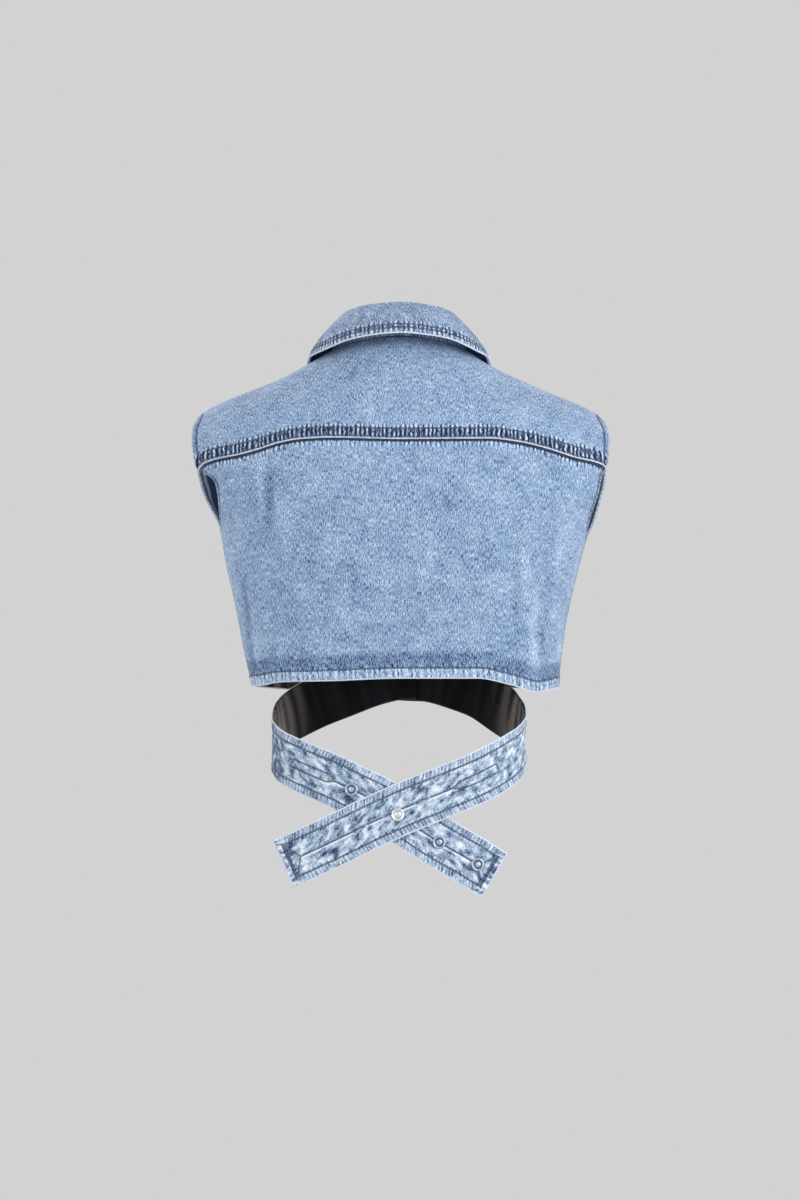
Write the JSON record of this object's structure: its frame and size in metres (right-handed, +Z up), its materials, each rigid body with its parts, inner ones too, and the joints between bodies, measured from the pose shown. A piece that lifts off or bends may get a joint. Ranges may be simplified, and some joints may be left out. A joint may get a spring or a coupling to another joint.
{
  "type": "denim vest",
  "caption": "Cropped sleeveless denim vest with a shirt collar, a shoulder yoke, a buttoned front and waistband straps that cross at the back, filled out as worn.",
  "frame": {"origin": "middle of the neck, at the height where the wearer's shoulders carry the vest", "axes": "+Z up, -Y the way the wearer faces, +X towards the wearer's left"},
  "size_m": [0.4377, 0.2551, 0.6234],
  "materials": {
    "washed_denim": "light-washed blue cotton denim, matt",
    "collar_denim": "light-washed blue cotton denim with worn pale edges",
    "strap_denim": "strongly washed, mottled pale blue cotton denim",
    "button_metal": "polished white metal"
  },
  "bodies": {
    "root": {"back_panel": "washed_denim", "yoke": "washed_denim", "front_left": "washed_denim", "front_right": "washed_denim", "placket": "washed_denim", "collar_stand": "collar_denim", "collar_leaf": "collar_denim", "strap_left": "strap_denim", "strap_right": "strap_denim", "waist_button": "button_metal", "strap_button_1": "button_metal", "strap_button_2": "button_metal", "strap_button_3": "button_metal", "strap_button_4": "button_metal", "front_button_1": "button_metal", "front_button_2": "button_metal", "front_button_3": "button_metal", "front_button_4": "button_metal"}
  },
  "joints": []
}
